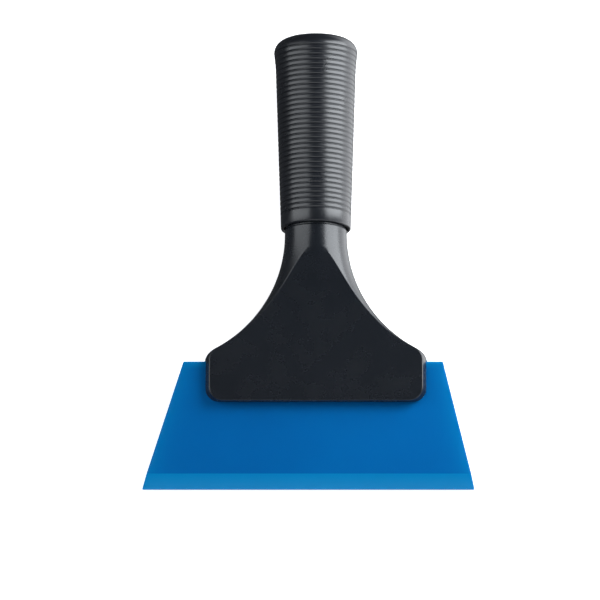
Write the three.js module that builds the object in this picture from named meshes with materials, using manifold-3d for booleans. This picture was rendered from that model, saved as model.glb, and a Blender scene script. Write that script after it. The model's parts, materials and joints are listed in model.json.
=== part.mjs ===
// Squeegee applicator with a twist-lock clamp handle: a trapezoid polyurethane blade held between
// two moulded jaws, which a ribbed grip draws together when it is screwed towards the head.
// Millimetres. Inside the tool group, Y is the station along the tool, counted from the blade's lip,
// Z is the depth towards the front face, and X runs across. The tool lies on its back, front face up.
import * as THREE from "three";
import { mergeVertices } from "three/addons/utils/BufferGeometryUtils.js";
import Module from "manifold-3d";

// Driving dimensions
const gap = 0.3;
const overlap = 0.1; // how far a thread is sunk into the wall that it is joined to
const sides = 20;
const blade = {
  lipWidth: 130, topWidth: 101.6, height: 51, thickness: 5,
  lipShift: -2.95, topShift: -1.05, lipThickness: 1.8, bevelHeight: 5.3, topChamfer: 0.9,
};
const head = {
  edge: 34, halfWidth: 43.6, cornerRadius: 5.5, shoulderRadius: 5,
  fanRadius: 54, fanTop: 103,
  faceDepth: 6.33, faceStart: 45, faceRadius: 225, sideRadius: 12,
};
const slot = { top: 51.4, halfThickness: 3.15, firstTooth: 38, toothDepth: 0.35, toothPitch: 3, teeth: 4 };
const neck = { radius: 12.2, end: 105.6, collarRadius: 11.9 };
const stem = { rearRadius: 8.6, frontRadius: 7.9, rearTop: 142, frontTop: 141.6, end: 160 };
const pivot = {
  station: 147, pinRadius: 1.5, pinLength: 16.4,
  lugRadius: 4.2, lugWidth: 6, lugRoom: 0.8, tongueLength: 10,
};
const thread = { lead: 4, ridge: 1, start: 119, turns: 4, clearance: 0.4, nutStart: 111, nutTurns: 7 };
const spring = {
  station: 67, coilRadius: 2.5, wireRadius: 0.4, turns: 4, seatDepth: 4.2, seatRadius: 3.3,
};
const ring = { base: 108, height: 3.4, radius: 10.9, bore: 8.95 };
const core = {
  mouth: 107.2, top: 173.2, mouthRadius: 12.4, taper: 0.0227, mouthBore: 11.2, shoulder: 111.7,
  bore: 9, stop: 154, stopBore: 10.9,
};
const sleeve = {
  rim: 105.2, rimChamfer: 0.4, radius: 13.75, taper: 0.0314, lipBore: 12.55, lipLength: 1.7,
  flareStart: 168, flare: 0.5, shoulder: 177.2, shoulderRadius: 5, crown: 0.6, endWall: 176,
};
const groove = { first: 110.7, pitch: 2, count: 34, halfWidth: 0.42, depth: 0.45 };
const screw = {
  shankRadius: 2, shankLength: 8, headRadius: 4, rimHeight: 1.7, crownRadius: 2.8, headHeight: 2.8,
  recessWidth: 0.9, recessDepth: 1.6,
};
const washer = { radius: 10.2, thickness: 1.2 };
const plug = { spigotRadius: 10.6, spigotLength: 4, flangeRadius: 13.5, flangeHeight: 2 };

const plastic = new THREE.MeshStandardMaterial({ color: 0x1c1e22, roughness: 0.42, metalness: 0 });
const rubber = new THREE.MeshStandardMaterial({ color: 0x1a1c20, roughness: 0.5, metalness: 0 });
const urethane = new THREE.MeshStandardMaterial({ color: 0x005fa6, roughness: 0.3, metalness: 0 });
const steel = new THREE.MeshStandardMaterial({ color: 0xa8abb0, roughness: 0.3, metalness: 1 });
const acetal = new THREE.MeshStandardMaterial({ color: 0xd9d6cc, roughness: 0.45, metalness: 0 });

const wasm = await Module();
wasm.setup();

function solidOf(geometry) {
  geometry.deleteAttribute("normal");
  geometry.deleteAttribute("uv");
  const merged = mergeVertices(geometry);
  return new wasm.Manifold(new wasm.Mesh({
    numProp: 3,
    vertProperties: merged.attributes.position.array,
    triVerts: new Uint32Array(merged.index.array),
  }));
}

function geometryOf(solid) {
  const mesh = solid.getMesh();
  const geometry = new THREE.BufferGeometry();
  geometry.setAttribute("position", new THREE.BufferAttribute(mesh.vertProperties, 3));
  geometry.setIndex(new THREE.BufferAttribute(mesh.triVerts, 1));
  geometry.computeVertexNormals();
  return geometry;
}

function piece(name, geometry, material) {
  const mesh = new THREE.Mesh(geometry, material);
  mesh.name = name;
  return mesh;
}

function points(pairs) {
  return pairs.map(([x, y]) => new THREE.Vector2(x, y));
}

// A profile of (radius, station) pairs, turned about the tool's axis
function turned(pairs) {
  return new THREE.LatheGeometry(points(pairs), sides);
}

// A side profile, drawn as (depth, station), made this wide across the tool
function across(shape, width) {
  const bar = new THREE.ExtrudeGeometry(shape, { depth: width, bevelEnabled: false, curveSegments: 10 });
  return bar.rotateY(-Math.PI / 2).translate(width / 2, 0, 0);
}

function block(width, from, to, back, front) {
  const box = new THREE.BoxGeometry(width, to - from, front - back);
  return solidOf(box.translate(0, (from + to) / 2, (front + back) / 2));
}

function crossPin(radius, length) {
  const pin = new THREE.CylinderGeometry(radius, radius, length, 16).rotateZ(Math.PI / 2);
  return pin.translate(0, pivot.station, 0);
}

class Helix extends THREE.Curve {
  constructor(radius, lead, from, turns) {
    super();
    Object.assign(this, { radius, lead, from, turns });
  }
  getPoint(t) {
    const station = this.from + t * this.turns * this.lead;
    const angle = (2 * Math.PI * station) / this.lead;
    return new THREE.Vector3(this.radius * Math.sin(angle), station, this.radius * Math.cos(angle));
  }
}

function coil(helix, wireRadius, wireSides) {
  const section = new THREE.Shape().absarc(0, 0, wireRadius, 0, 2 * Math.PI);
  const stepsPerTurn = 14;
  const steps = Math.round(helix.turns * stepsPerTurn);
  const options = { extrudePath: helix, steps, curveSegments: wireSides, bevelEnabled: false };
  return new THREE.ExtrudeGeometry(section, options);
}

function bladeProfile() {
  const half = blade.thickness / 2;
  return new THREE.Shape(points([
    [-half, 0],
    [blade.lipThickness - half, 0],
    [half, blade.bevelHeight],
    [half, blade.height - blade.topChamfer],
    [half - blade.topChamfer, blade.height],
    [-half, blade.height],
  ]));
}

function squeegeeBlade() {
  const outline = new THREE.Shape(points([
    [blade.lipShift - blade.lipWidth / 2, 0],
    [blade.lipShift + blade.lipWidth / 2, 0],
    [blade.topShift + blade.topWidth / 2, blade.height],
    [blade.topShift - blade.topWidth / 2, blade.height],
  ]));
  const reach = 2 * blade.thickness;
  const trapezoid = new THREE.ExtrudeGeometry(outline, { depth: reach, bevelEnabled: false });
  const bar = across(bladeProfile(), 2 * blade.lipWidth);
  return solidOf(bar).intersect(solidOf(trapezoid.translate(0, 0, -reach / 2)));
}

// Half the head's width at a station: round bottom corner, straight side, round shoulder, then one
// hollow arc that runs into the neck
function halfWidth(station) {
  const { edge, cornerRadius, shoulderRadius, fanRadius, fanTop } = head;
  const sweep = Math.acos(1 - (head.halfWidth - neck.radius) / fanRadius);
  const shoulder = fanTop - fanRadius * Math.sin(sweep);
  const blend = shoulderRadius * Math.tan(sweep / 2);
  if (station < edge + cornerRadius) {
    const rise = edge + cornerRadius - station;
    return head.halfWidth - cornerRadius + Math.sqrt(cornerRadius ** 2 - rise ** 2);
  }
  if (station < shoulder - blend) return head.halfWidth;
  if (station < shoulder + blend * Math.cos(sweep)) {
    const rise = station - shoulder + blend;
    return head.halfWidth - shoulderRadius + Math.sqrt(shoulderRadius ** 2 - rise ** 2);
  }
  const drop = Math.max(fanTop - station, 0);
  return neck.radius + fanRadius - Math.sqrt(fanRadius ** 2 - drop ** 2);
}

// A box whose sides are bowed to the fan outline, before its faces are cut to depth. Its rows crowd
// towards the blade, where the outline turns most sharply.
function fanBlank() {
  const rows = 46;
  const columns = 12;
  const crowding = 1.25;
  const length = neck.end - head.edge;
  const box = new THREE.BoxGeometry(2, length, 2, 1, rows, columns);
  const place = box.attributes.position;
  for (let i = 0; i < place.count; i++) {
    const share = place.getY(i) / length + 0.5;
    const station = head.edge + length * share ** crowding;
    const angle = place.getZ(i) * Math.PI / 2;
    const reach = halfWidth(station) - head.sideRadius * (1 - Math.cos(angle));
    place.setXYZ(i, place.getX(i) * reach, station, head.sideRadius * Math.sin(angle));
  }
  return solidOf(box);
}

// Both faces are flat near the blade and then curve out until they meet the neck
function faceSlab() {
  const { edge, faceDepth, faceStart, faceRadius, sideRadius } = head;
  const outer = new THREE.Path();
  outer.moveTo(faceDepth, edge - 1);
  outer.lineTo(faceDepth, faceStart);
  const bend = Math.acos(1 - (sideRadius + 1 - faceDepth) / faceRadius);
  outer.absarc(faceDepth + faceRadius, faceStart, faceRadius, Math.PI, Math.PI - bend, true);
  outer.lineTo(sideRadius + 1, neck.end + 1);
  const front = outer.getPoints(10);
  const back = front.map((p) => new THREE.Vector2(-p.x, p.y)).reverse();
  return solidOf(across(new THREE.Shape([...front, ...back]), 4 * head.halfWidth));
}

// The blade's slot, with gripping teeth along both walls
function bladeSlot() {
  const wall = points([[slot.halfThickness, head.edge - 1]]);
  for (let i = 0; i < slot.teeth; i++) {
    const crest = slot.firstTooth + i * slot.toothPitch;
    wall.push(...points([
      [slot.halfThickness, crest - slot.toothPitch / 2],
      [slot.halfThickness - slot.toothDepth, crest],
    ]));
  }
  const lastCrest = slot.firstTooth + (slot.teeth - 1) * slot.toothPitch;
  wall.push(...points([
    [slot.halfThickness, lastCrest + slot.toothPitch / 2],
    [slot.halfThickness, slot.top],
  ]));
  const other = wall.map((p) => new THREE.Vector2(-p.x, p.y)).reverse();
  return solidOf(across(new THREE.Shape([...wall, ...other]), 4 * head.halfWidth));
}

function stemBlank(radius, top) {
  const coneEnd = neck.end + neck.collarRadius - radius;
  return solidOf(turned([
    [0, neck.end - 2], [neck.collarRadius, neck.end - 2], [neck.collarRadius, neck.end],
    [radius, coneEnd], [radius, top], [0, top],
  ]));
}

function springSeat() {
  const seat = new THREE.CylinderGeometry(spring.seatRadius, spring.seatRadius, 2 * spring.seatDepth, 16);
  return solidOf(seat.rotateX(Math.PI / 2).translate(0, spring.station, 0));
}

function headBlank() {
  return fanBlank().intersect(faceSlab()).subtract(bladeSlot()).subtract(springSeat());
}

function threadRidge() {
  const helix = new Helix(stem.rearRadius - overlap, thread.lead, thread.start, thread.turns);
  return solidOf(coil(helix, thread.ridge, 3));
}

// The rear jaw carries the threaded half of the stem and, at its end, the full-round boss that holds
// the pivot and the retaining screw
function rearJaw() {
  const rearHalf = block(2 * head.halfWidth + 2, 0, stem.end + 10, -20, -gap / 2);
  const half = headBlank()
    .add(stemBlank(stem.rearRadius, stem.rearTop + 1))
    .add(threadRidge())
    .intersect(rearHalf);
  const boss = turned([
    [0, stem.rearTop], [stem.rearRadius, stem.rearTop], [stem.rearRadius, stem.end], [0, stem.end],
  ]);
  const { station, lugRadius, lugWidth, lugRoom, pinRadius } = pivot;
  const slotTop = station + lugRadius + lugRoom;
  const tongueSlot = block(lugWidth + 2 * gap, stem.rearTop - 1, slotTop, -lugRadius - lugRoom, 20);
  const holeRadius = screw.shankRadius + gap;
  const screwHole = new THREE.CylinderGeometry(holeRadius, holeRadius, 2 * screw.shankLength, 16);
  return half.add(solidOf(boss))
    .subtract(tongueSlot)
    .subtract(solidOf(crossPin(pinRadius + gap, 3 * stem.rearRadius)))
    .subtract(solidOf(screwHole.translate(0, stem.end, 0)));
}

// The front jaw's half of the stem is slimmer, so that it has room to swing inside the grip
function frontJaw() {
  const frontHalf = block(2 * head.halfWidth + 2, 0, stem.end, gap / 2, 20);
  const half = headBlank()
    .add(stemBlank(stem.frontRadius, stem.frontTop))
    .intersect(frontHalf);
  const { station, lugRadius, lugWidth, tongueLength, pinRadius } = pivot;
  const tongue = block(lugWidth, station - tongueLength, station, gap / 2, lugRadius)
    .add(solidOf(crossPin(lugRadius, lugWidth)));
  return half.add(tongue).subtract(solidOf(crossPin(pinRadius + gap, 3 * stem.rearRadius)));
}

// The spring lies across the parting line, pushing the jaws apart
function jawSpring() {
  const rise = 2 * (spring.seatDepth - gap - spring.wireRadius);
  const helix = new Helix(spring.coilRadius, rise / spring.turns, -rise / 2, spring.turns);
  return coil(helix, spring.wireRadius, 3).rotateX(Math.PI / 2);
}

// Its lower edge is a 45 degree cone, which draws the two jaws' collar together
function clampRing() {
  const coneRise = neck.end + neck.collarRadius - ring.base + Math.SQRT2 * gap;
  return turned([
    [ring.radius, 0], [ring.radius, ring.height], [ring.bore, ring.height],
    [ring.bore, coneRise - ring.bore], [coneRise, 0], [ring.radius, 0],
  ]);
}

function gripCore() {
  const outer = (station) => core.mouthRadius + core.taper * (station - core.mouth);
  const tube = solidOf(turned([
    [core.mouthBore, core.mouth], [outer(core.mouth), core.mouth], [outer(core.top), core.top],
    [core.stopBore, core.top], [core.stopBore, core.stop], [core.bore, core.stop],
    [core.bore, core.shoulder], [core.mouthBore, core.shoulder], [core.mouthBore, core.mouth],
  ]));
  const helix = new Helix(stem.rearRadius - overlap, thread.lead, thread.nutStart, thread.nutTurns);
  return tube.subtract(solidOf(coil(helix, thread.ridge + thread.clearance, 3)));
}

function sleeveRadius(station) {
  const flare = Math.max(station - sleeve.flareStart, 0) / (sleeve.shoulder - sleeve.flareStart);
  return sleeve.radius + sleeve.taper * (station - sleeve.rim) + sleeve.flare * flare ** 2;
}

// Ribbed rubber, closed at its domed end, with a short lip that hooks under the core's mouth
function gripSleeve() {
  const path = [[sleeve.radius - sleeve.rimChamfer, sleeve.rim]];
  path.push([sleeve.radius, sleeve.rim + sleeve.rimChamfer]);
  for (let i = 0; i < groove.count; i++) {
    const station = groove.first + i * groove.pitch;
    const radius = sleeveRadius(station);
    path.push([radius, station - groove.halfWidth]);
    path.push([radius - groove.depth, station]);
    path.push([radius, station + groove.halfWidth]);
  }
  const widest = sleeveRadius(sleeve.shoulder);
  const middle = widest - sleeve.shoulderRadius;
  const steps = 5;
  for (let i = 0; i <= steps; i++) {
    const angle = (i / steps) * (Math.PI / 2);
    path.push([
      middle + sleeve.shoulderRadius * Math.cos(angle),
      sleeve.shoulder + sleeve.shoulderRadius * Math.sin(angle),
    ]);
  }
  const shoulderTop = sleeve.shoulder + sleeve.shoulderRadius;
  path.push([middle / 2, shoulderTop + 0.75 * sleeve.crown]); // a shallow parabola over the end
  path.push([0, shoulderTop + sleeve.crown]);
  const inner = core.mouthRadius + gap;
  const innerTop = inner + core.taper * (sleeve.endWall - core.mouth);
  const lipTop = sleeve.rim + sleeve.lipLength;
  path.push([0, sleeve.endWall], [innerTop, sleeve.endWall], [inner, lipTop]);
  path.push([sleeve.lipBore, lipTop], [sleeve.lipBore, sleeve.rim], path[0]);
  return turned(path);
}

function endPlug() {
  return turned([
    [0, 0], [plug.spigotRadius, 0], [plug.spigotRadius, plug.spigotLength],
    [plug.flangeRadius, plug.spigotLength], [plug.flangeRadius, plug.spigotLength + plug.flangeHeight],
    [0, plug.spigotLength + plug.flangeHeight],
  ]);
}

function retainingScrew() {
  const { shankRadius, shankLength, headRadius, rimHeight, crownRadius, headHeight } = screw;
  const body = solidOf(turned([
    [0, -shankLength], [shankRadius, -shankLength], [shankRadius, 0], [headRadius, 0],
    [headRadius, rimHeight], [crownRadius, headHeight], [0, headHeight],
  ]));
  const blades = [0, Math.PI / 2].map((turn) => {
    const bit = new THREE.BoxGeometry(headRadius, 2 * screw.recessDepth, screw.recessWidth);
    return solidOf(bit.rotateY(turn).translate(0, headHeight, 0));
  });
  return body.subtract(blades[0].add(blades[1]));
}

function retainingWasher() {
  const hole = screw.shankRadius + gap;
  return turned([
    [hole, 0], [washer.radius, 0], [washer.radius, washer.thickness], [hole, washer.thickness], [hole, 0],
  ]);
}

function placed(mesh, x, y, z) {
  mesh.position.set(x, y, z);
  return mesh;
}

const clampGroup = new THREE.Group();
clampGroup.add(
  piece("squeegee_blade", geometryOf(squeegeeBlade()), urethane),
  piece("front_jaw", geometryOf(frontJaw()), plastic),
  piece("rear_jaw", geometryOf(rearJaw()), plastic),
  piece("pivot_pin", crossPin(pivot.pinRadius, pivot.pinLength), steel),
  placed(piece("jaw_spring", jawSpring(), steel), 0, spring.station, 0),
  placed(piece("retaining_washer", retainingWasher(), steel), 0, stem.end + gap, 0),
  placed(
    piece("retaining_screw", geometryOf(retainingScrew()), steel),
    0, stem.end + washer.thickness + 2 * gap, 0,
  ),
);

const gripGroup = new THREE.Group();
gripGroup.add(
  placed(piece("clamp_ring", clampRing(), acetal), 0, ring.base, 0),
  piece("grip_core", geometryOf(gripCore()), plastic),
  piece("grip_sleeve", gripSleeve(), rubber),
  placed(piece("end_plug", endPlug(), plastic), 0, core.top + gap - plug.spigotLength, 0),
);

// The tool rests on the rear jaw's lower edge and on the sleeve's rim
const tool = new THREE.Group();
tool.add(clampGroup, gripGroup);
const contact = sleeve.rim + sleeve.rimChamfer;
tool.rotation.x = Math.atan2(sleeve.radius - head.faceDepth, contact - head.edge);
const bounds = new THREE.Box3().setFromObject(tool, true);
const middle = bounds.getCenter(new THREE.Vector3());
tool.position.set(-middle.x, -middle.y, -bounds.min.z);

const applicator = new THREE.Group();
applicator.add(tool);

export default applicator;
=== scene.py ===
import bpy
import json
import math
from mathutils import Matrix, Vector


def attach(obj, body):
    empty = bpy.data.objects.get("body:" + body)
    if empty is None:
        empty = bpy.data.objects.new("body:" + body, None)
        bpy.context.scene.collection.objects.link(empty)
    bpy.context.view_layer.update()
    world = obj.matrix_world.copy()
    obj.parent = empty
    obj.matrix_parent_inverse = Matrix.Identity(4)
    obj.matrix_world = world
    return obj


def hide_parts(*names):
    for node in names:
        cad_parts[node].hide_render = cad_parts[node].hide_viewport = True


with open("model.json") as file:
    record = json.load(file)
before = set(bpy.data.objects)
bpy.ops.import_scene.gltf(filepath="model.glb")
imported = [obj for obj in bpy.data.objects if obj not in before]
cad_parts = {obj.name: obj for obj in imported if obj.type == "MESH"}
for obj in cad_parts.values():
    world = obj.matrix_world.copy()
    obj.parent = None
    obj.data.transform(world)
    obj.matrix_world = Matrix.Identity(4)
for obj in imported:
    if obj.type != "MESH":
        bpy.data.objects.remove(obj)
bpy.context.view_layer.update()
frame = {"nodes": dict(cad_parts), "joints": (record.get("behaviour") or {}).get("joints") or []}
bpy.ops.object.select_all(action="DESELECT")
print("frame loaded:", len(frame["nodes"]), "CAD nodes")

mm = 0.001

# the tool's own axes: Y runs from the blade's lip to the handle's end, Z towards the front face
pivotStation = 147 * mm  # how far the jaw pivot is from the lip
twist = next(joint for joint in frame["joints"] if joint["name"] == "grip_twist")
alongTool = Vector(twist["axis"]).normalized()
acrossTool = Vector((1, 0, 0))
outOfFace = acrossTool.cross(alongTool)
lipPoint = Vector(twist["pos_m"]) - alongTool * pivotStation
toolMatrix = Matrix.Translation(lipPoint) @ Matrix((acrossTool, alongTool, outOfFace)).transposed().to_4x4()


def deselectAll():
    if bpy.context.object and bpy.context.object.mode != "OBJECT":
        bpy.ops.object.mode_set(mode="OBJECT")
    bpy.ops.object.select_all(action="DESELECT")


def makeActive(piece):
    deselectAll()
    piece.select_set(True)
    bpy.context.view_layer.objects.active = piece


def pickVertices(piece, test):
    # leaves edit mode, marks what passes the test, and goes back in vertex mode
    bpy.ops.object.mode_set(mode="EDIT")
    bpy.ops.mesh.select_mode(type="VERT")
    bpy.ops.mesh.select_all(action="DESELECT")
    bpy.ops.object.mode_set(mode="OBJECT")
    for vertex in piece.data.vertices:
        vertex.select = test(vertex.co)
    bpy.ops.object.mode_set(mode="EDIT")


def pickEdges(piece, test):
    bpy.ops.object.mode_set(mode="EDIT")
    bpy.ops.mesh.select_mode(type="EDGE")
    bpy.ops.mesh.select_all(action="DESELECT")
    bpy.ops.object.mode_set(mode="OBJECT")
    corners = piece.data.vertices
    for edge in piece.data.edges:
        edge.select = test(corners[edge.vertices[0]].co, corners[edge.vertices[1]].co)
    bpy.ops.object.mode_set(mode="EDIT")


def tidyMesh(piece, smoothAngle=30):
    makeActive(piece)
    bpy.ops.object.mode_set(mode="EDIT")
    bpy.ops.mesh.select_all(action="SELECT")
    bpy.ops.mesh.remove_doubles(threshold=0.000002)
    bpy.ops.mesh.dissolve_degenerate(threshold=0.000002)
    bpy.ops.mesh.normals_make_consistent(inside=False)
    bpy.ops.object.mode_set(mode="OBJECT")
    bpy.ops.object.shade_smooth_by_angle(angle=math.radians(smoothAngle))


def cutWith(piece, cutter, operation="DIFFERENCE"):
    makeActive(piece)
    cut = piece.modifiers.new("cut", "BOOLEAN")
    cut.operation = operation
    cut.solver = "EXACT"
    cut.object = cutter
    bpy.ops.object.modifier_apply(modifier=cut.name)
    bpy.data.objects.remove(cutter)


def bisectAt(piece, point, normal, clearInner=True):
    # keeps the side that the normal points to, closed where it was cut
    makeActive(piece)
    bpy.ops.object.mode_set(mode="EDIT")
    bpy.ops.mesh.select_all(action="SELECT")
    bpy.ops.mesh.bisect(plane_co=point, plane_no=normal, use_fill=clearInner, clear_inner=clearInner)
    bpy.ops.object.mode_set(mode="OBJECT")


def drawOutline(points, name):
    # one vertex, extruded from point to point and joined up at the end
    bpy.ops.mesh.primitive_plane_add(size=1)
    outline = bpy.context.object
    outline.name = name
    bpy.ops.object.mode_set(mode="EDIT")
    bpy.ops.mesh.select_mode(type="VERT")
    bpy.ops.mesh.select_all(action="SELECT")
    bpy.ops.mesh.merge(type="CENTER")
    bpy.ops.transform.translate(value=points[0])
    for before, after in zip(points, points[1:] + points[:1]):
        step = Vector(after) - Vector(before)
        bpy.ops.mesh.extrude_vertices_move(TRANSFORM_OT_translate={"value": step})
    bpy.ops.mesh.select_all(action="SELECT")
    bpy.ops.mesh.remove_doubles(threshold=0.000001)
    bpy.ops.mesh.select_all(action="SELECT")
    return outline


def copyOf(piece, name):
    copy = piece.copy()
    copy.data = piece.data.copy()
    copy.name = name
    bpy.context.scene.collection.objects.link(copy)
    return copy


def layOnBench(piece, body, replaced):
    # from the tool's axes to the frame's, with the place left in the mesh
    makeActive(piece)
    piece.matrix_world = toolMatrix
    bpy.ops.object.transform_apply(location=True, rotation=True, scale=True)
    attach(piece, body)
    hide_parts(replaced)
    deselectAll()


def newMaterial(name):
    material = bpy.data.materials.new(name)
    material.use_nodes = True
    nodes = material.node_tree.nodes
    return material, nodes, material.node_tree.links, nodes["Principled BSDF"]


def objectPattern(nodes, links, scale=(1, 1, 1)):
    coordinates = nodes.new("ShaderNodeTexCoord")
    mapping = nodes.new("ShaderNodeMapping")
    mapping.inputs["Rotation"].default_value = (-math.asin(alongTool.z), 0, 0)
    mapping.inputs["Scale"].default_value = scale
    links.new(coordinates.outputs["Object"], mapping.inputs["Vector"])
    return mapping.outputs["Vector"]


def noise(nodes, links, vector, scale, detail=4, roughness=0.5):
    texture = nodes.new("ShaderNodeTexNoise")
    texture.inputs["Scale"].default_value = scale
    texture.inputs["Detail"].default_value = detail
    texture.inputs["Roughness"].default_value = roughness
    links.new(vector, texture.inputs["Vector"])
    return texture.outputs["Fac"]


def ramp(nodes, links, value, stops):
    node = nodes.new("ShaderNodeValToRGB")
    elements = node.color_ramp.elements
    elements[0].position, elements[0].color = stops[0][0], (*stops[0][1], 1)
    elements[1].position, elements[1].color = stops[-1][0], (*stops[-1][1], 1)
    for place, colour in stops[1:-1]:
        elements.new(place).color = (*colour, 1)
    links.new(value, node.inputs["Fac"])
    return node.outputs["Color"]


def ranged(nodes, links, value, low, high, fromLow=0.3, fromHigh=0.7):
    node = nodes.new("ShaderNodeMapRange")
    node.inputs["From Min"].default_value = fromLow
    node.inputs["From Max"].default_value = fromHigh
    node.inputs["To Min"].default_value = low
    node.inputs["To Max"].default_value = high
    links.new(value, node.inputs["Value"])
    return node.outputs["Result"]


def bump(nodes, links, height, strength, distance, under=None):
    node = nodes.new("ShaderNodeBump")
    node.inputs["Strength"].default_value = strength
    node.inputs["Distance"].default_value = distance
    links.new(height, node.inputs["Height"])
    if under:
        links.new(under, node.inputs["Normal"])
    return node.outputs["Normal"]


def mixed(nodes, links, factor, first, colour):
    node = nodes.new("ShaderNodeMix")
    node.data_type = "RGBA"
    links.new(factor, node.inputs["Factor"])
    links.new(first, node.inputs["A"])
    node.inputs["B"].default_value = (*colour, 1)
    return node.outputs["Result"]


def mouldedPlastic(name, look):
    # fine spark-eroded grain, faint lines round the turned parts, edges rubbed a little lighter
    material, nodes, links, shader = newMaterial(name)
    vector = objectPattern(nodes, links)
    flow = noise(nodes, links, vector, 55, 5)
    body = ramp(nodes, links, flow, [(0.3, look["dark"]), (0.7, look["light"])])
    edge = nodes.new("ShaderNodeNewGeometry").outputs["Pointiness"]
    rub = ranged(nodes, links, edge, 0, 1, 0.53, 0.62)
    colour = mixed(nodes, links, rub, body, look["worn"])
    links.new(colour, shader.inputs["Base Color"])
    smears = noise(nodes, links, vector, 90, 6, 0.6)
    low, high = look["roughness"] - 0.03, look["roughness"] + 0.05
    links.new(ranged(nodes, links, smears, low, high), shader.inputs["Roughness"])
    grain = bump(nodes, links, noise(nodes, links, vector, 2600, 3, 0.6), look["grain"], 0.04 * mm)
    rings = noise(nodes, links, objectPattern(nodes, links, (0.05, 1, 0.05)), 1400, 3, 0.6)
    links.new(bump(nodes, links, rings, look["rings"], 0.03 * mm, grain), shader.inputs["Normal"])
    shader.inputs["Specular IOR Level"].default_value = look["specular"]
    return material


def castUrethane(name, look):
    # deep blue in the middle; painted light: the colour is lighter along the lip's bevel, the side edges
    # and the top chamfer, where light would shine out of or catch the urethane
    material, nodes, links, shader = newMaterial(name)
    vector = objectPattern(nodes, links)
    cloud = noise(nodes, links, vector, 18, 3)
    body = ramp(nodes, links, cloud, [(0.35, look["deep"]), (0.65, look["mid"])])
    # painted light: this mask mixes the light edge colour into the blue
    paintedLightMask = nodes.new("ShaderNodeAttribute")
    paintedLightMask.attribute_name = "paintedEdgeLight"
    links.new(mixed(nodes, links, paintedLightMask.outputs["Fac"], body, look["edge"]), shader.inputs["Base Color"])
    scuff = noise(nodes, links, objectPattern(nodes, links, (1, 6, 1)), 160, 5, 0.6)
    low, high = look["roughness"] - 0.02, look["roughness"] + 0.04
    links.new(ranged(nodes, links, scuff, low, high), shader.inputs["Roughness"])
    links.new(bump(nodes, links, scuff, 0.006, 0.1 * mm), shader.inputs["Normal"])
    shader.inputs["Subsurface Weight"].default_value = look["scatter"]
    shader.inputs["Subsurface Radius"].default_value = (0.2, 0.6, 1.0)
    shader.inputs["Subsurface Scale"].default_value = 4 * mm
    shader.inputs["Specular IOR Level"].default_value = look["specular"]
    return material


def platedSteel(name, look):
    material, nodes, links, shader = newMaterial(name)
    vector = objectPattern(nodes, links)
    spots = noise(nodes, links, vector, 240, 6)
    tone = ramp(nodes, links, spots, [(0.3, look["dark"]), (0.7, look["light"])])
    links.new(tone, shader.inputs["Base Color"])
    links.new(ranged(nodes, links, spots, look["smooth"], look["rough"]), shader.inputs["Roughness"])
    grain = noise(nodes, links, vector, 1800, 2)
    links.new(bump(nodes, links, grain, look["grain"], 0.03 * mm), shader.inputs["Normal"])
    shader.inputs["Metallic"].default_value = 1
    return material


plasticLook = {
    "dark": (0.0062, 0.0082, 0.0115), "light": (0.008, 0.01, 0.0138), "worn": (0.018, 0.02, 0.024),
    "roughness": 0.26, "grain": 0.2, "rings": 0.1, "specular": 0.5,
}
rubberLook = {
    "dark": (0.005, 0.0064, 0.0092), "light": (0.0075, 0.009, 0.0124), "worn": (0.016, 0.018, 0.022),
    "roughness": 0.29, "grain": 0.25, "rings": 0.15, "specular": 0.6,
}
coreLook = {
    "dark": (0.03, 0.03, 0.032), "light": (0.045, 0.045, 0.047), "worn": (0.08, 0.08, 0.08),
    "roughness": 0.45, "grain": 0.3, "rings": 0.2, "specular": 0.5,
}
ringLook = {
    "dark": (0.6, 0.58, 0.52), "light": (0.7, 0.68, 0.62), "worn": (0.78, 0.77, 0.72),
    "roughness": 0.4, "grain": 0.2, "rings": 0.3, "specular": 0.5,
}
bladeLook = {
    # edge is the painted light colour for the bevel, the side edges and the top chamfer
    "deep": (0.0, 0.1, 0.325), "mid": (0.0, 0.112, 0.35), "edge": (0.0, 0.23, 0.5),
    "roughness": 0.3, "scatter": 0.1, "specular": 0.1,
}
steelLook = {
    "dark": (0.42, 0.43, 0.44), "light": (0.62, 0.62, 0.6), "smooth": 0.24, "rough": 0.4, "grain": 0.15,
}
jawBlack = mouldedPlastic("jawBlack", plasticLook)
gripBlack = mouldedPlastic("gripBlack", rubberLook)
coreGrey = mouldedPlastic("coreGrey", coreLook)
ringCream = mouldedPlastic("ringCream", ringLook)
bladeBlue = castUrethane("bladeBlue", bladeLook)
zincSteel = platedSteel("zincSteel", steelLook)
print("materials made")

# blade: a slab tapered to the lip, bevelled on its front, with a small chamfer along the top
bladeValues = {
    "lipWidth": 130 * mm, "topWidth": 101.6 * mm, "height": 51 * mm, "thickness": 5 * mm,
    "lipShift": -2.95 * mm, "topShift": -1.05 * mm, "lipThickness": 1.8 * mm,
    "bevelHeight": 5.3 * mm, "topChamfer": 0.9 * mm, "edgeRound": 0.18 * mm,
    "rows": 16, "columns": 40,
    # painted light: its strength on the bevel and the sides, and how fast it fades from the sides and the
    # top
    "bevelPaintedLight": 0.68, "sidePaintedLight": 0.4, "sideFade": 3.5 * mm, "topFade": 1.2 * mm,
}


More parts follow.
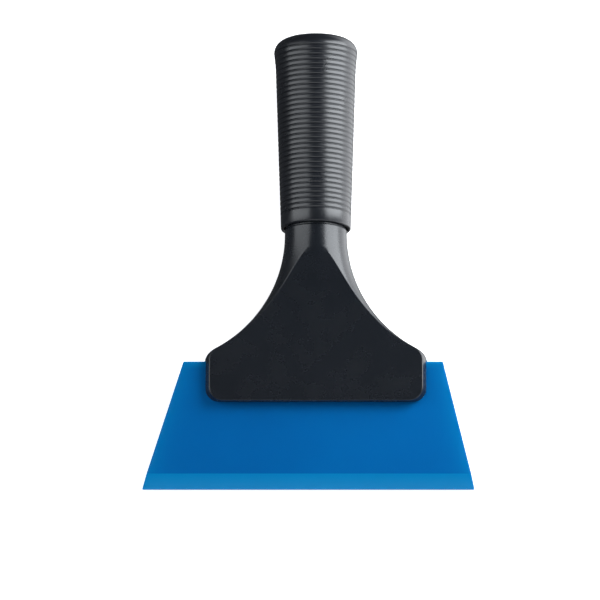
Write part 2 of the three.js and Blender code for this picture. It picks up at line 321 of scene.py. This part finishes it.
def makeBlade(v):
    half = v["thickness"] / 2
    bpy.ops.mesh.primitive_cube_add(size=1, location=(v["topShift"], v["height"] / 2, 0))
    blade = bpy.context.object
    blade.name = "blade"
    blade.scale = (v["topWidth"], v["height"], v["thickness"])
    bpy.ops.object.transform_apply(location=True, scale=True)
    pickVertices(blade, lambda co: co.y < 0.1 * mm)  # the lip end
    bpy.ops.transform.resize(value=(v["lipWidth"] / v["topWidth"], 1, 1))
    bpy.ops.transform.translate(value=(v["lipShift"] - v["topShift"], 0, 0))
    bpy.ops.mesh.select_all(action="SELECT")
    bpy.ops.mesh.bisect(plane_co=(0, v["bevelHeight"], 0), plane_no=(0, 1, 0))
    pickVertices(blade, lambda co: co.y < 0.1 * mm and co.z > 0)  # front edge of the lip
    bpy.ops.transform.translate(value=(0, 0, v["lipThickness"] - v["thickness"]))
    pickEdges(blade, lambda a, b: min(a.y, b.y) > v["height"] - 0.1 * mm and min(a.z, b.z) > 0)
    bpy.ops.mesh.bevel(offset=v["topChamfer"], segments=1, affect="EDGES")
    bpy.ops.mesh.select_all(action="DESELECT")
    bpy.ops.mesh.edges_select_sharp(sharpness=math.radians(10))
    bpy.ops.mesh.bevel(offset=v["edgeRound"], segments=3, affect="EDGES")
    for row in range(1, v["rows"]):  # cuts that give the painted light room to fade
        bpy.ops.mesh.select_all(action="SELECT")
        bpy.ops.mesh.bisect(plane_co=(0, v["height"] * row / v["rows"], 0), plane_no=(0, 1, 0))
    for column in range(1, v["columns"]):
        place = v["lipShift"] + v["lipWidth"] * (column / v["columns"] - 0.5)
        bpy.ops.mesh.select_all(action="SELECT")
        bpy.ops.mesh.bisect(plane_co=(place, 0, 0), plane_no=(1, 0, 0))
    tidyMesh(blade)
    # painted light: a lighter bevel, a lighter band fading in from the sides and a painted highlight along
    # the top chamfer
    paintedLightMask = blade.data.attributes.new("paintedEdgeLight", "FLOAT", "POINT")
    slope = (v["lipWidth"] - v["topWidth"]) / 2 / v["height"]
    for vertex, value in zip(blade.data.vertices, paintedLightMask.data):
        middle = v["lipShift"] + (v["topShift"] - v["lipShift"]) * vertex.co.y / v["height"]
        fromSide = v["lipWidth"] / 2 - slope * vertex.co.y - abs(vertex.co.x - middle)
        sidePaintedLight = v["sidePaintedLight"] * math.exp(-fromSide / v["sideFade"])
        bevelled = vertex.co.y < v["bevelHeight"] - 0.05 * mm and vertex.co.z > 0.3 * mm - half
        topPaintedHighlight = math.exp((vertex.co.y - v["height"]) / v["topFade"])
        value.value = max(sidePaintedLight, v["bevelPaintedLight"] if bevelled else 0, topPaintedHighlight)
    blade.data.materials.append(bladeBlue)
    layOnBench(blade, "blade", "squeegee_blade")


makeBlade(bladeValues)
print("blade made")

# head: rings extruded from the neck down to the jaws' edge, then shaped to the fan's outline
headValues = {
    "edge": 34 * mm, "halfWidth": 43.6 * mm, "cornerRadius": 5.5 * mm, "shoulderRadius": 5 * mm,
    "fanRadius": 54 * mm, "fanTop": 103 * mm,
    "faceDepth": 6.33 * mm, "faceStart": 45 * mm, "faceRadius": 225 * mm, "sideRadius": 12 * mm,
    "neckRadius": 12.2 * mm, "neckEnd": 105.6 * mm, "collarRadius": 11.9 * mm,
    "reliefStart": 104.3 * mm, "reliefDepth": 0.5 * mm,
    "frontStem": 7.9 * mm, "rearStem": 8.6 * mm, "stemJoin": 113 * mm,
    "seam": 0.15 * mm, "edgeRound": 0.4 * mm, "ringCorners": 72, "rings": 90,
}
slotValues = {
    "top": 51.4 * mm, "half": 3.15 * mm, "mouthFlare": 0.5 * mm,
    "firstTooth": 38 * mm, "toothDepth": 0.35 * mm, "toothPitch": 3 * mm, "teeth": 4,
}


def shoulderOf(v):
    # where the straight side meets the hollow arc, and how far the arc has swept there
    sweep = math.acos(1 - (v["halfWidth"] - v["neckRadius"]) / v["fanRadius"])
    return v["fanTop"] - v["fanRadius"] * math.sin(sweep), sweep


def halfWidthAt(station, v):
    shoulder, sweep = shoulderOf(v)
    blend = v["shoulderRadius"] * math.tan(sweep / 2)
    if station < v["edge"] + v["cornerRadius"]:
        rise = v["edge"] + v["cornerRadius"] - station
        return v["halfWidth"] - v["cornerRadius"] + math.sqrt(max(v["cornerRadius"] ** 2 - rise**2, 0))
    if station < shoulder - blend:
        return v["halfWidth"]
    if station < shoulder + blend * math.cos(sweep):
        rise = station - shoulder + blend
        return v["halfWidth"] - v["shoulderRadius"] + math.sqrt(v["shoulderRadius"] ** 2 - rise**2)
    drop = max(v["fanTop"] - station, 0)
    return v["neckRadius"] + v["fanRadius"] - math.sqrt(v["fanRadius"] ** 2 - drop**2)


def reliefAt(station, v):
    # a shallow step in the neck, just below the grip's rim
    return v["reliefDepth"] * max(0, min(1, (station - v["reliefStart"]) / v["reliefDepth"]))


def faceDepthAt(station, v):
    run = max(station - v["faceStart"], 0)
    return min(v["faceDepth"] + v["faceRadius"] - math.sqrt(v["faceRadius"] ** 2 - run**2), v["sideRadius"])


def ringStations(v):
    # even steps, with closer ones round the corners and the shoulders
    length = v["neckEnd"] - v["edge"]
    stations = [v["edge"] + length * i / v["rings"] for i in range(v["rings"] + 1)]
    for i in range(1, 12):
        stations.append(v["edge"] + v["cornerRadius"] * (1 - math.cos(math.pi / 2 * i / 12)))
    stations += [v["reliefStart"], v["reliefStart"] + v["reliefDepth"]]
    shoulder = shoulderOf(v)[0]
    for i in range(16):
        stations.append(shoulder + v["shoulderRadius"] * (i / 16 - 0.65))
    stations.sort(reverse=True)
    kept = stations[:1]
    for station in stations[1:]:
        if kept[-1] - station > 0.09 * mm:
            kept.append(station)
    kept[-1] = v["edge"]
    return kept


def makeHeadBlank(v):
    stations = ringStations(v)
    bpy.ops.mesh.primitive_circle_add(
        vertices=v["ringCorners"], radius=v["sideRadius"], fill_type="NGON",
        location=(0, stations[0], 0), rotation=(math.pi / 2, 0, 0),
    )
    head = bpy.context.object
    bpy.ops.object.transform_apply(location=True, rotation=True)
    bpy.ops.object.mode_set(mode="EDIT")
    bpy.ops.mesh.select_all(action="SELECT")
    for before, after in zip(stations, stations[1:]):
        bpy.ops.mesh.extrude_region_move(TRANSFORM_OT_translate={"value": (0, after - before, 0)})
    bpy.ops.object.mode_set(mode="OBJECT")
    quarter = v["ringCorners"] // 4
    crease = 1 - 1 / quarter  # the last corner before the middle of a face sits on the crease
    for vertex in head.data.vertices:
        station = vertex.co.y
        turn = math.asin(max(-1, min(1, vertex.co.z / v["sideRadius"]))) / (math.pi / 2)
        depth = faceDepthAt(station, v)
        if abs(turn) > crease + 0.01:
            vertex.co = (0, station, math.copysign(depth - reliefAt(station, v), turn))
            continue
        angle = turn / crease * math.asin(depth / v["sideRadius"])
        reach = halfWidthAt(station, v) - v["sideRadius"] * (1 - math.cos(angle))
        vertex.co = (math.copysign(reach, vertex.co.x), station, v["sideRadius"] * math.sin(angle))
        vertex.co.x *= 1 - reliefAt(station, v) / v["neckRadius"]
        vertex.co.z *= 1 - reliefAt(station, v) / v["neckRadius"]
    tidyMesh(head)
    bpy.ops.object.mode_set(mode="EDIT")
    bpy.ops.mesh.select_all(action="DESELECT")
    bpy.ops.mesh.select_mode(type="EDGE")
    bpy.ops.mesh.edges_select_sharp(sharpness=math.radians(24))
    bpy.ops.mesh.bevel(offset=v["edgeRound"], segments=3, affect="EDGES", clamp_overlap=True)
    bpy.ops.object.mode_set(mode="OBJECT")
    return head


def addCone(v, stemRadius):
    # the clamping cone above the neck and the start of the stem
    cone = v["neckEnd"] + v["collarRadius"] - stemRadius
    bpy.ops.mesh.primitive_circle_add(
        vertices=v["ringCorners"], radius=v["collarRadius"], fill_type="NGON",
        location=(0, v["neckEnd"] - 1 * mm, 0), rotation=(math.pi / 2, 0, 0),
    )
    stem = bpy.context.object
    bpy.ops.object.transform_apply(location=True, rotation=True)
    bpy.ops.object.mode_set(mode="EDIT")
    bpy.ops.mesh.select_all(action="SELECT")
    bpy.ops.mesh.extrude_region_move(TRANSFORM_OT_translate={"value": (0, 1 * mm, 0)})
    bpy.ops.mesh.extrude_region_move(TRANSFORM_OT_translate={"value": (0, cone - v["neckEnd"], 0)})
    share = stemRadius / v["collarRadius"]
    bpy.ops.transform.resize(value=(share, 1, share))
    bpy.ops.mesh.extrude_region_move(TRANSFORM_OT_translate={"value": (0, v["stemJoin"] - cone, 0)})
    tidyMesh(stem)
    return stem


def makeSlotCutter(v, s):
    # a bar through both jaws, with the gripping teeth left standing and a small flare at the mouth
    low = v["edge"] - 2 * mm
    outline = [(s["half"] + s["mouthFlare"], low), (s["half"] + s["mouthFlare"], v["edge"])]
    outline.append((s["half"], v["edge"] + s["mouthFlare"]))
    for tooth in range(s["teeth"]):
        crest = s["firstTooth"] + tooth * s["toothPitch"]
        outline += [(s["half"], crest - s["toothPitch"] / 2), (s["half"] - s["toothDepth"], crest)]
    outline += [(s["half"], crest + s["toothPitch"] / 2), (s["half"], s["top"])]
    outline += [(-depth, station) for depth, station in reversed(outline)]
    bar = drawOutline([(-2 * v["halfWidth"], station, depth) for depth, station in outline], "slotCutter")
    bpy.ops.mesh.edge_face_add()
    bpy.ops.mesh.extrude_region_move(TRANSFORM_OT_translate={"value": (4 * v["halfWidth"], 0, 0)})
    bpy.ops.mesh.select_all(action="SELECT")
    bpy.ops.mesh.normals_make_consistent(inside=False)
    bpy.ops.object.mode_set(mode="OBJECT")
    return bar


def hiddenStem(v, node):
    # the threaded and pivoted end of the stem, from the CAD node, cut where the visible part stops
    stem = copyOf(frame["nodes"][node], node + "Stem")
    stem.parent = None
    for key in list(stem.keys()):
        del stem[key]
    stem.matrix_world = toolMatrix.inverted()
    makeActive(stem)
    bpy.ops.object.transform_apply(location=True, rotation=True, scale=True)
    bpy.ops.object.mode_set(mode="EDIT")
    bpy.ops.mesh.select_all(action="SELECT")
    bpy.ops.mesh.remove_doubles(threshold=0.000003)
    bpy.ops.object.mode_set(mode="OBJECT")
    bisectAt(stem, (0, v["stemJoin"], 0), (0, 1, 0))
    stem.data.materials.clear()
    return stem


def makeJaw(v, headBlank, side, name, body, stemRadius):
    jaw = copyOf(headBlank, name)
    cutWith(jaw, addCone(v, stemRadius), "UNION")
    bisectAt(jaw, (0, 0, side * v["seam"]), (0, 0, side))
    cutWith(jaw, makeSlotCutter(v, slotValues))
    tidyMesh(jaw)
    stem = hiddenStem(v, body)
    makeActive(jaw)
    stem.select_set(True)
    bpy.ops.object.join()
    bpy.ops.object.shade_smooth_by_angle(angle=math.radians(30))
    jaw.data.materials.clear()
    jaw.data.materials.append(jawBlack)
    layOnBench(jaw, body, body)


headBlank = makeHeadBlank(headValues)
makeJaw(headValues, headBlank, 1, "frontJaw", "front_jaw", headValues["frontStem"])
makeJaw(headValues, headBlank, -1, "rearJaw", "rear_jaw", headValues["rearStem"])
bpy.data.objects.remove(headBlank)
print("jaws made")

# grip: one profile of the rubber's wall, spun about the tool's axis
gripValues = {
    "rim": 105.2 * mm, "rimChamfer": 0.4 * mm, "radius": 13.75 * mm, "taper": 0.0314,
    "lipBore": 12.55 * mm, "lipLength": 1.7 * mm, "flareStart": 168 * mm, "flare": 0.5 * mm,
    "shoulder": 177.2 * mm, "shoulderRadius": 5 * mm, "crown": 0.6 * mm, "endWall": 176 * mm,
    "coreMouth": 107.2 * mm, "boreRadius": 12.7 * mm, "boreTaper": 0.0227,
    "firstGroove": 110.7 * mm, "groovePitch": 2 * mm, "grooves": 34,
    "grooveHalf": 0.36 * mm, "grooveDepth": 0.42 * mm, "ribCrown": 0.015 * mm, "steps": 112,
    "grooveShape": (  # share of the half width, share of the depth
        (-1.5, 0), (-1.2, 0.02), (-1, 0.12), (-0.55, 0.8), (0, 1),
        (0.55, 0.8), (1, 0.12), (1.2, 0.02), (1.5, 0),
    ),
}


def gripRadiusAt(station, v):
    flare = max(station - v["flareStart"], 0) / (v["shoulder"] - v["flareStart"])
    return v["radius"] + v["taper"] * (station - v["rim"]) + v["flare"] * flare**2


def gripProfile(v):
    rim, chamfer = v["rim"], v["rimChamfer"]
    points = [(v["radius"] - chamfer, rim), (v["radius"] - 0.3 * chamfer, rim + 0.3 * chamfer)]
    points.append((v["radius"], rim + chamfer))
    for groove in range(v["grooves"]):
        middle = v["firstGroove"] + groove * v["groovePitch"]
        for share, drop in v["grooveShape"]:
            station = middle + share * v["grooveHalf"]
            points.append((gripRadiusAt(station, v) - v["ribCrown"] - drop * v["grooveDepth"], station))
        if groove < v["grooves"] - 1:
            station = middle + v["groovePitch"] / 2  # the rib's crown
            points.append((gripRadiusAt(station, v), station))
    middle = gripRadiusAt(v["shoulder"], v) - v["shoulderRadius"]
    for i in range(13):
        angle = math.pi / 2 * i / 12
        points.append((
            middle + v["shoulderRadius"] * math.cos(angle),
            v["shoulder"] + v["shoulderRadius"] * math.sin(angle),
        ))
    top = v["shoulder"] + v["shoulderRadius"]
    for i in range(1, 9):
        share = i / 8
        points.append((middle * (1 - share), top + v["crown"] * (1 - (1 - share) ** 2)))
    innerTop = v["boreRadius"] + v["boreTaper"] * (v["endWall"] - v["coreMouth"])
    lipTop = rim + v["lipLength"]
    points += [(0, v["endWall"]), (innerTop, v["endWall"]), (v["boreRadius"], lipTop)]
    points += [(v["lipBore"], lipTop), (v["lipBore"], rim + 0.15 * mm), (v["lipBore"] + 0.15 * mm, rim)]
    return points


def makeGrip(v):
    grip = drawOutline([(radius, station, 0) for radius, station in gripProfile(v)], "gripSleeve")
    bpy.ops.mesh.spin(steps=v["steps"], angle=math.tau, center=(0, 0, 0), axis=(0, 1, 0))
    bpy.ops.object.mode_set(mode="OBJECT")
    tidyMesh(grip, 50)
    grip.data.materials.append(gripBlack)
    layOnBench(grip, "grip", "grip_sleeve")


makeGrip(gripValues)
print("grip made")

# hidden pieces keep their CAD meshes
cadFinishes = {
    "grip_core": coreGrey, "end_plug": coreGrey, "clamp_ring": ringCream, "pivot_pin": zincSteel,
    "jaw_spring": zincSteel, "retaining_screw": zincSteel, "retaining_washer": zincSteel,
}
for node, material in cadFinishes.items():
    frame["nodes"][node].data.materials.clear()
    frame["nodes"][node].data.materials.append(material)
print("hidden pieces finished")

# studio: white bench, a small softbox close on the right, tall on the left, low wide one in front
studioValues = {
    "elevation": 68.6, "distance": 5, "frameWidth": 234.7 * mm, "aimAside": -3.27 * mm, "aimUp": 73.65 * mm,
    "floorSize": 12, "floorGlow": 0.75,
    "rightPlace": (0.38, 0.17, 0.24), "rightSize": (0.34, 0.5), "rightPower": 4.6,
    "leftPlace": (-1.05, 0.15, 0.84), "leftSize": (0.75, 1.6), "leftPower": 11,
    "frontPlace": (0.25, -0.9, 0.26), "frontSize": (2.4, 0.5), "frontPower": 9.5,
    "lampColour": (0.92, 0.96, 1), "roomLevel": 0.07, "benchReflection": 3,
    "benchSides": (0.2, 0.75), "benchHorizon": (-0.04, 0.02),
}


def softbox(side, v):
    name = "softbox" + side.capitalize()
    place = Vector(v[side + "Place"])
    light = bpy.data.lights.new(name, "AREA")
    light.shape = "RECTANGLE"
    light.size, light.size_y = v[side + "Size"]  # level, then up the tilted side
    light.energy = v[side + "Power"]
    light.color = v["lampColour"]
    lamp = bpy.data.objects.new(name, light)
    lamp.location = place
    lamp.rotation_euler = (-place).to_track_quat("-Z", "Y").to_euler()
    lamp.visible_camera = False
    bpy.context.scene.collection.objects.link(lamp)


def makeFloor(v):
    bpy.ops.mesh.primitive_plane_add(size=v["floorSize"], location=(0, 0, 0))
    floor = bpy.context.object
    floor.name = "bench"
    material, nodes, links, shader = newMaterial("benchWhite")
    shader.inputs["Base Color"].default_value = (0.9, 0.9, 0.9, 1)
    shader.inputs["Roughness"].default_value = 0.8
    shader.inputs["Specular IOR Level"].default_value = 0.1
    shader.inputs["Emission Color"].default_value = (1, 1, 1, 1)
    shader.inputs["Emission Strength"].default_value = v["floorGlow"]
    floor.data.materials.append(material)
    floor.visible_glossy = False  # keeps the handle's left flank dark


def makeRoom(v):
    # a dark room; below the horizon the glossy pieces see the lit bench on the right instead
    world = bpy.data.worlds.new("room")
    world.use_nodes = True
    nodes, links = world.node_tree.nodes, world.node_tree.links
    split = nodes.new("ShaderNodeSeparateXYZ")
    links.new(nodes.new("ShaderNodeTexCoord").outputs["Generated"], split.inputs["Vector"])
    rightwards = ranged(nodes, links, split.outputs["X"], 0, v["benchReflection"], *v["benchSides"])
    downwards = ranged(nodes, links, split.outputs["Z"], 1, 0, *v["benchHorizon"])
    level = nodes.new("ShaderNodeMath")
    level.operation = "MULTIPLY_ADD"
    links.new(rightwards, level.inputs[0])
    links.new(downwards, level.inputs[1])
    level.inputs[2].default_value = v["roomLevel"]
    background = nodes["Background"]
    background.inputs["Color"].default_value = (0.95, 0.97, 1, 1)
    links.new(level.outputs["Value"], background.inputs["Strength"])
    bpy.context.scene.world = world


def makeCamera(v):
    tilt = math.radians(v["elevation"])
    towards = Vector((0, -math.cos(tilt), math.sin(tilt)))
    upward = Vector((0, math.sin(tilt), math.cos(tilt)))
    aim = Vector((v["aimAside"], lipPoint.y, lipPoint.z)) + upward * v["aimUp"]
    cameraData = bpy.data.cameras.new("camera")
    cameraData.lens = cameraData.sensor_width * v["distance"] / v["frameWidth"]
    camera = bpy.data.objects.new("camera", cameraData)
    camera.location = aim + towards * v["distance"]
    camera.rotation_euler = (-towards).to_track_quat("-Z", "Y").to_euler()
    bpy.context.scene.collection.objects.link(camera)
    bpy.context.scene.camera = camera


makeFloor(studioValues)
makeRoom(studioValues)
for side in ("right", "left", "front"):
    softbox(side, studioValues)
makeCamera(studioValues)
bpy.context.scene.view_settings.view_transform = "Standard"
print("studio made")

deselectAll()
